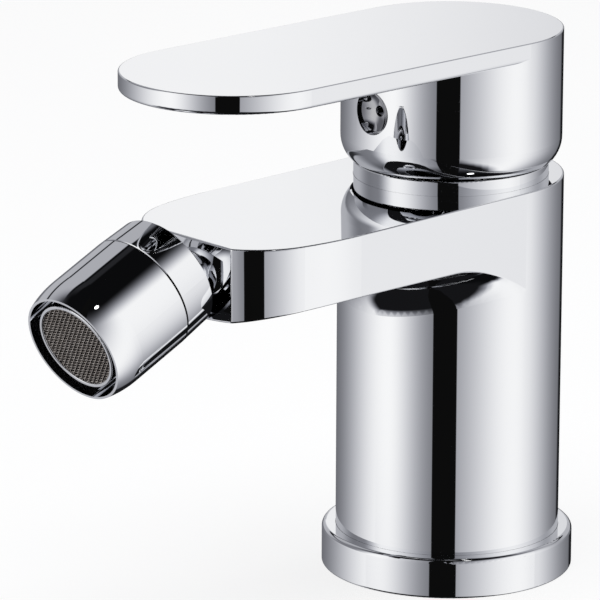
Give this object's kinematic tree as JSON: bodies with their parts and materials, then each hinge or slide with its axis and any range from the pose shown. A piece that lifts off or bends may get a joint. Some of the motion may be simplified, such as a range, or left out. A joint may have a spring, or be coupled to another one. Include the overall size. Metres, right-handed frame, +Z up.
{
  "type": "bidet mixer",
  "caption": "Single-lever bidet mixer: round column with a slab spout, flat paddle handle on a round skirt, and a ball-jointed outlet with an aerator.",
  "frame": {"origin": "centre of the seat on the deck, where the axis of the column meets the underside of the base ring", "axes": "+Z up along the column, -Y along the spout towards the outlet, +X to the right of a person who faces the spout's end"},
  "size_m": [0.054, 0.138, 0.1183],
  "materials": {
    "chrome": "bright polished chrome plate",
    "plug": "dark polished chrome",
    "brass": "machined, unplated",
    "steel": "fine turned",
    "mesh": "woven stainless wire",
    "cartridge_plastic": "satin moulded",
    "ceramic": "lapped ceramic",
    "seal_rubber": "matt",
    "aerator_plastic": "satin moulded"
  },
  "bodies": {
    "casting": {"mixer_body": "chrome", "inlet_block": "brass", "block_seal": "seal_rubber", "base_ring": "chrome", "base_seal": "seal_rubber", "cartridge_base": "cartridge_plastic", "hot_port_seal": "seal_rubber", "cold_port_seal": "seal_rubber", "fixed_disc": "ceramic", "cartridge_housing": "cartridge_plastic", "housing_seal": "seal_rubber", "cartridge_nut": "brass", "collar": "chrome"},
    "carrier": {"lever_carrier": "cartridge_plastic", "lever_pin": "steel"},
    "slider": {"moving_disc": "ceramic", "disc_carrier": "cartridge_plastic"},
    "lever": {"handle": "chrome", "lever_spindle": "brass", "handle_screw": "steel", "index_plug": "plug"},
    "stud": {"ball_stud": "chrome", "stud_seal": "seal_rubber"},
    "outlet": {"swivel_nut": "chrome", "ball_seat": "aerator_plastic", "aerator_washer": "seal_rubber", "aerator_shell": "chrome", "aerator_insert": "aerator_plastic", "aerator_diffuser": "aerator_plastic", "aerator_mesh": "mesh", "mesh_ring": "chrome"}
  },
  "joints": [
    {"name": "handle_turn", "type": "hinge", "parent": "casting", "child": "carrier", "pos_m": [0, 0, 0.07], "axis": [0, 0, 1], "range_deg": [-45, 45]},
    {"name": "handle_lift", "type": "hinge", "parent": "carrier", "child": "lever", "pos_m": [0, 0, 0.076], "axis": [-1, 0, 0], "range_deg": [0, 7.5]},
    {"name": "disc_slide", "type": "slide", "parent": "carrier", "child": "slider", "axis": [0, -1, 0], "range_m": [0, 0.00137]},
    {"name": "outlet_swivel", "type": "hinge", "parent": "casting", "child": "stud", "pos_m": [0, -0.08348, 0.07744], "axis": [0, 1, 0], "range_deg": [-4, 21]},
    {"name": "outlet_tilt", "type": "hinge", "parent": "stud", "child": "outlet", "pos_m": [0, -0.08348, 0.07744], "axis": [-0.9888, 0, -0.1495], "range_deg": [0, 42]}
  ],
  "couplings": [
    {"joint": "disc_slide", "follows": "handle_lift", "m_per_rad": 0.0104}
  ]
}
